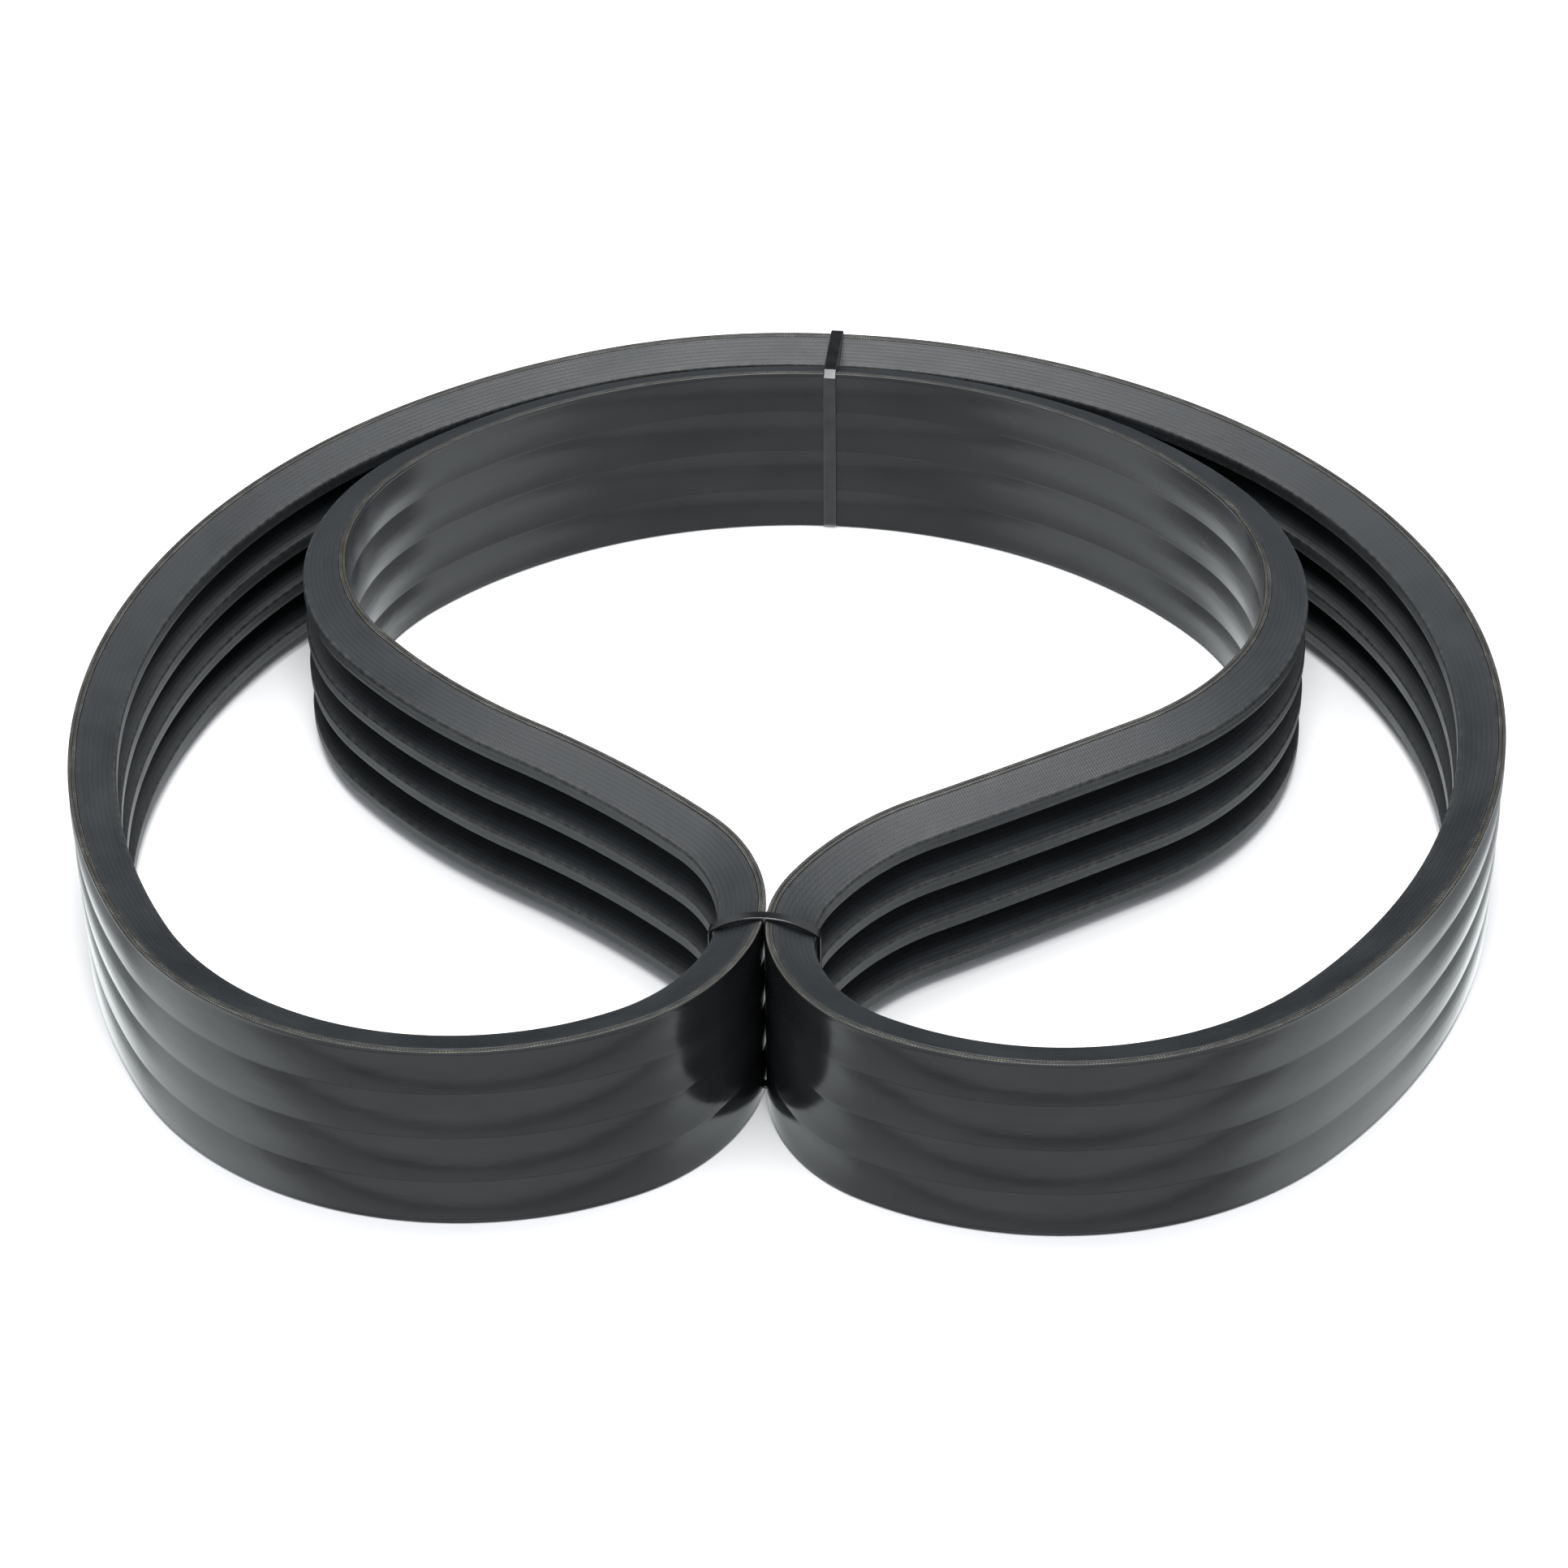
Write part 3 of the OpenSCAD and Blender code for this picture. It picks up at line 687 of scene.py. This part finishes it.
class Tie:
    """Sizes and place of one cable tie, as in the CAD, in its own plane: across, up, width. The
    shares are of the strap's width."""

    clearance = 0.25 * MM
    lift = 0.15 * MM
    head_lift = 0.3 * MM
    slot_play = 0.25 * MM
    tail_bend = 0.6 * MM
    tail_drop = 1.2 * MM
    tail_stub = 1.6 * MM
    tooth_pitch = 1.1 * MM
    tooth_depth = 0.4 * MM
    tooth_run = 0.7 * MM
    tooth_wall = 0.93 * MM
    first_tooth = 0.4 * MM
    teeth = 5
    length_share, width_share, depth_share = 1.6, 1.65, 1.15
    pocket_share, pocket_start_share = 0.55, 0.22
    head_round = 0.55 * MM
    opening_round = 0.12 * MM
    tail_round = 0.08 * MM
    strap_round, strap_inner_round = 0.34 * MM, 0.2 * MM

    def __init__(self, name, middle, across, half, width, thickness, bend, head_height, arch, low_arch):
        self.name = name
        self.half, self.width, self.thickness, self.bend = half, width, thickness, bend
        self.head_height, self.arch, self.low_arch = head_height, arch, low_arch
        self.turn_height = head_height - self.tail_drop
        self.face = self.turn_height + self.tail_bend
        self.slot_low = self.face - self.slot_play
        self.slot_high = self.face + thickness + self.slot_play
        self.top = WIDTH + self.lift + thickness
        self.head_length = self.length_share * width
        self.head_width = self.width_share * width
        self.head_depth = self.depth_share * width
        self.origin = np.array([*middle, 0.0])
        self.across = np.array([*across, 0.0])
        self.up = np.array([0.0, 0.0, 1.0])
        self.along_width = np.cross(self.across, self.up)

    def world(self, points):
        """Points (across, up, width) in the part's frame."""
        axes = np.stack([self.across, self.up, self.along_width])
        return self.origin + np.asarray(points) @ axes

    def arch_radius(self, arch):
        return (self.half - self.bend * (1 - math.sin(arch))) / math.sin(arch) if arch else 0

    def rise(self, arch):
        """How far the bends' centres are from the arch's crown, measured up or down."""
        radius = self.arch_radius(arch)
        return radius - (radius - self.bend) * math.cos(arch) if arch else self.bend

    def route(self):
        """The strap's outer face from the head's top round to the tail's bend: points, headings."""
        half, bend = self.half, self.bend
        high, low = self.arch, self.low_arch
        high_bend, low_bend = self.top - self.rise(high), self.rise(low)
        quarter = math.pi / 2
        points, headings = [], []

        def line(start, end):
            count = max(2, round(math.dist(start, end) / (2 * MM)))
            across, up = end[0] - start[0], end[1] - start[1]
            for share in np.linspace(0, 1, count + 1)[1:-1]:
                points.append((start[0] + share * across, start[1] + share * up))
                headings.append(math.atan2(up, across))

        def arc(centre, radius, start, angle, creased=False):
            count = max(6, round(abs(angle) * radius / (0.5 * MM)))
            shares = [0, 0.03, 0.06, 0.94, 0.97, 1] if creased else np.linspace(0, 1, count + 1)
            for share in shares:
                a = start + share * angle
                points.append((centre[0] + radius * math.cos(a), centre[1] + radius * math.sin(a)))
                flat = creased and 0 < share < 1
                headings.append((start + angle / 2 if flat else a) + math.copysign(quarter, angle))

        line((half, self.slot_high - 0.4 * MM), (half, high_bend))
        arc((half - bend, high_bend), bend, 0, quarter - high)
        if high:
            arc((0, self.top - self.arch_radius(high)), self.arch_radius(high), quarter - high, 2 * high)
        arc((bend - half, high_bend), bend, quarter + high, quarter - high, creased=not high)
        line((-half, high_bend), (-half, low_bend))
        arc((bend - half, low_bend), bend, math.pi, quarter - low)
        if low:
            arc((0, self.arch_radius(low)), self.arch_radius(low), 3 * quarter - low, 2 * low)
        arc((half - bend, low_bend), bend, 3 * quarter + low, quarter - low)
        line((half, low_bend), (half, self.turn_height))
        arc((half + self.tail_bend, self.turn_height), self.tail_bend, math.pi, -quarter)
        keep = [0] + [i for i in range(1, len(points)) if math.dist(points[i], points[i - 1]) > 0.01 * MM]
        return np.array(points)[keep], np.array(headings)[keep]


def strap(tie, sweep):
    """The strap's loop, with rounded edges."""
    points, headings = tie.route()
    normals = left_of(headings)
    zero = np.zeros((len(points), 1))
    origins = tie.world(np.hstack([points, zero]))
    axes = np.stack([tie.across, tie.up, tie.along_width])
    depths = np.hstack([normals, zero]) @ axes
    widths = np.tile(tie.along_width, (len(points), 1))
    steps = np.linalg.norm(np.diff(points, axis=0), axis=1)
    along = np.concatenate([[0], np.cumsum(steps)])
    outer, inner = tie.strap_round, tie.strap_inner_round
    h, t = tie.width / 2, tie.thickness
    corners = [(0, -h, outer, 0), (t, -h, inner, 0), (t, h, inner, 0), (0, h, outer, 0)]
    outline, _ = rounded(corners, steps=4, longest=4 * MM)
    sweep.add(origins, depths, widths, along, outline, closed=False)


def extrusion(name, outline, half, tie):
    """A flat outline in the tie's plane, given a width."""
    mesh = bpy.data.meshes.new(name)
    build = bmesh.new()
    sides = []
    for side in (-half, half):
        ring = tie.world([(x, y, side) for x, y in outline])
        sides.append([build.verts.new(point) for point in ring])
    build.faces.new(sides[1])
    build.faces.new(sides[0][::-1])
    count = len(outline)
    for i in range(count):
        j = (i + 1) % count
        build.faces.new([sides[0][i], sides[0][j], sides[1][j], sides[1][i]])
    bmesh.ops.recalc_face_normals(build, faces=build.faces)
    build.to_mesh(mesh)
    build.free()
    piece = bpy.data.objects.new(name, mesh)
    bpy.context.scene.collection.objects.link(piece)
    return piece


def block(name, tie, low, high, half):
    """A box in the tie's frame, from low to high (across, up), and half its width to either side."""
    outline = [(low[0], low[1]), (high[0], low[1]), (high[0], high[1]), (low[0], high[1])]
    return extrusion(name, outline, half, tie)


def apply_modifiers(piece):
    """Makes a piece's modifiers part of its mesh."""
    bpy.context.view_layer.update()
    graph = bpy.context.evaluated_depsgraph_get()
    mesh = bpy.data.meshes.new_from_object(piece.evaluated_get(graph))
    piece.modifiers.clear()
    piece.data = mesh


def combine(piece, other, operation):
    modifier = piece.modifiers.new(operation.lower(), "BOOLEAN")
    modifier.operation = operation
    modifier.solver = "EXACT"
    modifier.object = other
    apply_modifiers(piece)
    bpy.data.objects.remove(other)


def bevel(piece, width, segments=3):
    modifier = piece.modifiers.new("bevel", "BEVEL")
    modifier.width = width
    modifier.segments = segments
    modifier.limit_method = "ANGLE"
    modifier.harden_normals = False
    apply_modifiers(piece)


def tie_head(tie, name, material):
    """The tie's head: a rounded block on its root, with the strap's slot and the pawl's pocket."""
    half, thick, deep = tie.half, tie.thickness, tie.head_depth
    wide = tie.head_width / 2
    low, high = tie.head_height - tie.head_length / 2, tie.head_height + tie.head_length / 2
    face = half + tie.head_lift
    body = block(name, tie, (face, low), (face + deep, high), wide)
    root = block("root", tie, (half - thick, tie.slot_high), (half + deep, high), wide)
    combine(body, root, "UNION")
    bevel(body, tie.head_round)
    open_half = tie.width / 2 + tie.slot_play
    beyond = half + 2 * deep
    slot = block("slot", tie, (half - 2 * thick, tie.slot_low), (beyond, tie.slot_high), open_half)
    combine(body, slot, "DIFFERENCE")
    pocket_low = tie.slot_high - tie.slot_play
    pocket_high = pocket_low + tie.pocket_share * tie.width
    start = half + tie.pocket_start_share * tie.width - tie.slot_play / 2
    pocket = block("pocket", tie, (start, pocket_low), (beyond, pocket_high), open_half)
    combine(body, pocket, "DIFFERENCE")
    bevel(body, tie.opening_round, segments=2)
    body.data.shade_smooth()
    body.data.set_sharp_from_angle(angle=math.radians(32))
    return finished(body, material)


def tie_tail(tie, name, material):
    """What is left of the tail in the head: a toothed strip, cut square."""
    start = tie.half + tie.tail_bend
    end = tie.half + tie.head_lift + tie.head_depth + tie.tail_stub
    face = tie.face + tie.thickness
    outline = [(start - 0.05 * MM, tie.face), (end, tie.face), (end, face)]
    for tooth in reversed(range(tie.teeth)):
        x = start + tie.first_tooth + tooth * tie.tooth_pitch
        outline += [(x + tie.tooth_wall, face), (x + tie.tooth_run, face - tie.tooth_depth), (x, face)]
    outline += [(start - 0.05 * MM, face)]
    piece = extrusion(name, outline, tie.width / 2, tie)
    bevel(piece, tie.tail_round, segments=1)
    return finished(piece, material)


def cable_tie(tie, material):
    sweep = Sweep(f"{tie.name}_strap")
    strap(tie, sweep)
    loop = sweep.build(material)
    loop.data.set_sharp_from_angle(angle=math.radians(60))
    head = tie_head(tie, f"{tie.name}_head", material)
    tail = tie_tail(tie, f"{tie.name}_tail", material)
    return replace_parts(loop, tie.name)


def back_cable_tie(material):
    """The tie round the two strands at the back."""
    first = FOLD_PATH.starts[0]
    inner = FOLD_PATH.back_point(LOOP_BACK, first[0] + 10.3 * MM)
    outer = FOLD_PATH.back_point(BACK_RIGHT, first[0] + 13.8 * MM)
    thickness = 1.3 * MM
    across = outer - inner
    half = np.linalg.norm(across) / 2 + Tie.clearance + thickness
    tie = Tie(
        "back_tie", (inner + outer) / 2, across / np.linalg.norm(across), half,
        width=4.8 * MM, thickness=thickness, bend=2.6 * MM, head_height=36 * MM, arch=0, low_arch=0,
    )
    return cable_tie(tie, material)


def front_cable_tie(material):
    """The tie round the two noses in front, square to the gap between them, arched over and under."""
    left = FOLD_PATH.centre(NOSE_LEFT) + [FOLD_PATH.radii[NOSE_LEFT], 0]
    right = FOLD_PATH.centre(NOSE_RIGHT) - [FOLD_PATH.radii[NOSE_RIGHT], 0]
    cross = (left + right) / 2 + [0, -2.8 * MM]
    turn = math.radians(-6)
    across = np.array([math.cos(turn), math.sin(turn)])

    def to_tips(arc, toward):
        start = cross - FOLD_PATH.centre(arc)
        along = start @ toward
        reach = FOLD_PATH.radii[arc] - BELT_HEIGHT
        return -along - math.sqrt(along ** 2 - start @ start + reach ** 2)

    to_left, to_right = to_tips(NOSE_LEFT, -across), to_tips(NOSE_RIGHT, across)
    thickness = 1.1 * MM
    tie = Tie(
        "front_tie", cross + across * (to_right - to_left) / 2, across,
        (to_left + to_right) / 2 + Tie.clearance + thickness,
        width=3.6 * MM, thickness=thickness, bend=3.0 * MM, head_height=26 * MM,
        arch=math.radians(36), low_arch=math.radians(26),
    )
    return cable_tie(tie, material)


# ---------------------------------------------------------------- the studio


# The photograph's view, fitted to the belt's outline: lengths in metres, the lens in millimetres
AIM = Vector((-0.00196, 0.0145, 0.0))
DISTANCE = 1.4961
ELEVATION = math.radians(35.294)
ROLL = math.radians(-0.621)
LENS, SENSOR = 95.92, 36

FLOOR_REACH = 25.0
FLOOR_PLAY = 0.0002

# The light table: its front and back edges, half its width, and how far it lies below the belt
TABLE_FRONT, TABLE_BACK = -0.80, 6.0
TABLE_SIDE = 3.0
TABLE_DROP = 0.50
TABLE_TINT = (0.94, 0.99, 1.0)

# Its levels: all over, what the sides and the ring add, what the far part loses of these, what the
# part beyond that adds, and the share that the bar lets through
TABLE_LEVEL, SIDES_ADD, RING_ADD, FAR_LOSS, BEYOND_ADD, BAR_SHARE = 0.74, 0.80, 1.1, 0.75, 0.6, 0.30

SKY_FRONT, SKY_BACK, SKY_CORNERS = 1.15, 0.10, 0.50
SKY_TINT = (0.92, 0.95, 1.0)


def camera():
    """The view from a little over a third of the way up, dead ahead of the two lobes."""
    data = bpy.data.cameras.new("camera")
    data.sensor_width = SENSOR
    data.lens = LENS
    data.clip_start = 0.05
    view = bpy.data.objects.new("camera", data)
    view.location = AIM + DISTANCE * Vector((0, -math.cos(ELEVATION), math.sin(ELEVATION)))
    tilt = Matrix.Rotation(math.pi / 2 - ELEVATION, 4, "X")
    roll = Matrix.Rotation(ROLL, 4, "Z")
    view.matrix_world = Matrix.Translation(view.location) @ tilt @ roll
    bpy.context.scene.collection.objects.link(view)
    bpy.context.scene.camera = view


def sheet(name, low, high, height, material):
    """A flat rectangle from low to high (x, y), at a height."""
    mesh = bpy.data.meshes.new(name)
    corners = [(low[0], low[1], 0), (high[0], low[1], 0), (high[0], high[1], 0), (low[0], high[1], 0)]
    mesh.from_pydata(corners, [], [(0, 1, 2, 3)])
    mesh.materials.append(material)
    piece = bpy.data.objects.new(name, mesh)
    piece.location.z = height
    bpy.context.scene.collection.objects.link(piece)
    return piece


def floor(material):
    """The paper under the belt, which reflections and shadow rays don't see."""
    low, high = (-FLOOR_REACH, -FLOOR_REACH), (FLOOR_REACH, FLOOR_REACH)
    plane = sheet("floor", low, high, BAND_LOW.z - FLOOR_PLAY, material)
    plane.visible_glossy = False
    plane.visible_shadow = False


def softbox(name, place, aim, width, height, power):
    """A rectangular lamp at a place, turned towards a point."""
    data = bpy.data.lights.new(name, "AREA")
    data.shape = "RECTANGLE"
    data.size, data.size_y = width, height
    data.energy = power
    lamp = bpy.data.objects.new(name, data)
    toward = Vector(aim) - Vector(place)
    lamp.location = place
    lamp.rotation_euler = toward.to_track_quat("-Z", "Y").to_euler()
    bpy.context.scene.collection.objects.link(lamp)


def light_table():
    """What the belt's smooth back mirrors: a light table far below that only reflections see. It
    is brighter to the sides and in a ring behind, dims further back, and has a dark bar along its
    front edge. The levels are tuned to the photograph's reflections, for the camera's view."""
    s = Shader("light_table")
    x, y, _ = s.split(s.object_place())
    wide = s.math("ABSOLUTE", x)
    aside = s.math("MULTIPLY", s.ramp(wide, 0.45, 0.75), s.ramp(y, -0.62, -0.42))
    reach = s.math("SQRT", s.math("ADD", s.math("MULTIPLY", x, x), s.math("MULTIPLY", y, y)))
    ring = s.math("MULTIPLY", s.ramp(reach, 0.56, 0.70), s.ramp(wide, 0.55, 0.66, RING_ADD, 0.0))
    ring = s.math("MULTIPLY", ring, s.ramp(y, 0.05, 0.35))
    far = s.math("MULTIPLY", s.ramp(reach, 0.72, 0.86), s.ramp(y, 0.0, 0.36, 0.0, FAR_LOSS))
    level = s.math("ADD", s.math("MULTIPLY_ADD", aside, SIDES_ADD, TABLE_LEVEL), ring)
    beyond = s.ramp(y, 1.40, 1.90, 0.0, BEYOND_ADD)
    glow = s.math("MULTIPLY_ADD", level, s.math("SUBTRACT", 1.0, far), beyond)
    bar = s.ramp(y, TABLE_FRONT + 0.075, TABLE_FRONT + 0.105, BAR_SHARE, 1.0)
    strength = s.math("MULTIPLY", glow, bar)
    s.set(Base_Color=(0, 0, 0), Emission_Color=TABLE_TINT, Emission_Strength=strength)
    s.material.cycles.emission_sampling = "NONE"
    low, high = (-TABLE_SIDE, TABLE_FRONT), (TABLE_SIDE, TABLE_BACK)
    table = sheet("light_table", low, high, -TABLE_DROP, s.material)
    only_reflected(table)
    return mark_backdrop(table)


def only_reflected(piece):
    piece.visible_camera = False
    piece.visible_diffuse = False
    piece.visible_shadow = False
    piece.visible_transmission = False


def sky():
    """A soft dome, brighter in front of the belt than behind it, with a lift at the upper corners
    behind."""
    world = bpy.data.worlds.new("studio")
    world.use_nodes = True
    s = NodeTree(world.node_tree)
    x, y, z = s.split(s.nodes.new("ShaderNodeTexCoord").outputs["Generated"])
    front = s.ramp(y, -0.35, 0.35, SKY_FRONT, SKY_BACK)
    aside = s.ramp(s.math("ABSOLUTE", x), 0.12, 0.40, 0.0, SKY_CORNERS)
    high_behind = s.math("MULTIPLY", s.ramp(z, 0.05, 0.35), s.ramp(y, 0.2, 0.6))
    corners = s.math("MULTIPLY", aside, high_behind)
    background = s.nodes["Background"]
    s.feed(background.inputs["Color"], SKY_TINT)
    s.feed(background.inputs["Strength"], s.math("ADD", front, corners))
    bpy.context.scene.world = world


def studio():
    sky()
    light_table()
    softbox("overhead", place=(0, 0.35, 1.6), aim=(0, 0.1, 0), width=1.5, height=1.0, power=36)
    softbox("key", place=(0.03, -0.88, 1.6), aim=(0, 0.19, 0.07), width=0.5, height=0.4, power=15)
    scene = bpy.context.scene
    scene.view_settings.view_transform = "Standard"
    scene.cycles.use_denoising = True


def cad_materials():
    """Finishes for the CAD nodes that keep their own shape."""
    top = plain_rubber("top_rubber", (0.012, 0.012, 0.012), (0.024, 0.024, 0.024))
    adhesion = plain_rubber("adhesion_rubber", (0.020, 0.017, 0.015), (0.034, 0.029, 0.026))
    core = plain_rubber("core_rubber", (0.009, 0.009, 0.009), (0.018, 0.018, 0.018), fibres=0.5)
    layers = {"top_rubber": top, "cord_rubber": adhesion, "core": core, "cords": twisted_cord()}
    for rib in range(1, RIBS + 1):
        for part, material in layers.items():
            dress(f"rib_{rib}_{part}", material)


def dress(node, material):
    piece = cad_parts[node]
    piece.data.materials.clear()
    piece.data.materials.append(material)


def build():
    camera()
    fabric = band_fabric()
    wrap = cover_fabric()
    nylon = moulded_nylon()
    outer_ply(fabric)
    inner_ply(fabric)
    for rib in range(RIBS):
        rib_cover(rib, wrap)
    back_cable_tie(nylon)
    front_cable_tie(nylon)
    cad_materials()
    for node in ("back_tie_pawl", "front_tie_pawl"):
        dress(node, nylon)
    floor(floor_paper())
    studio()


build()
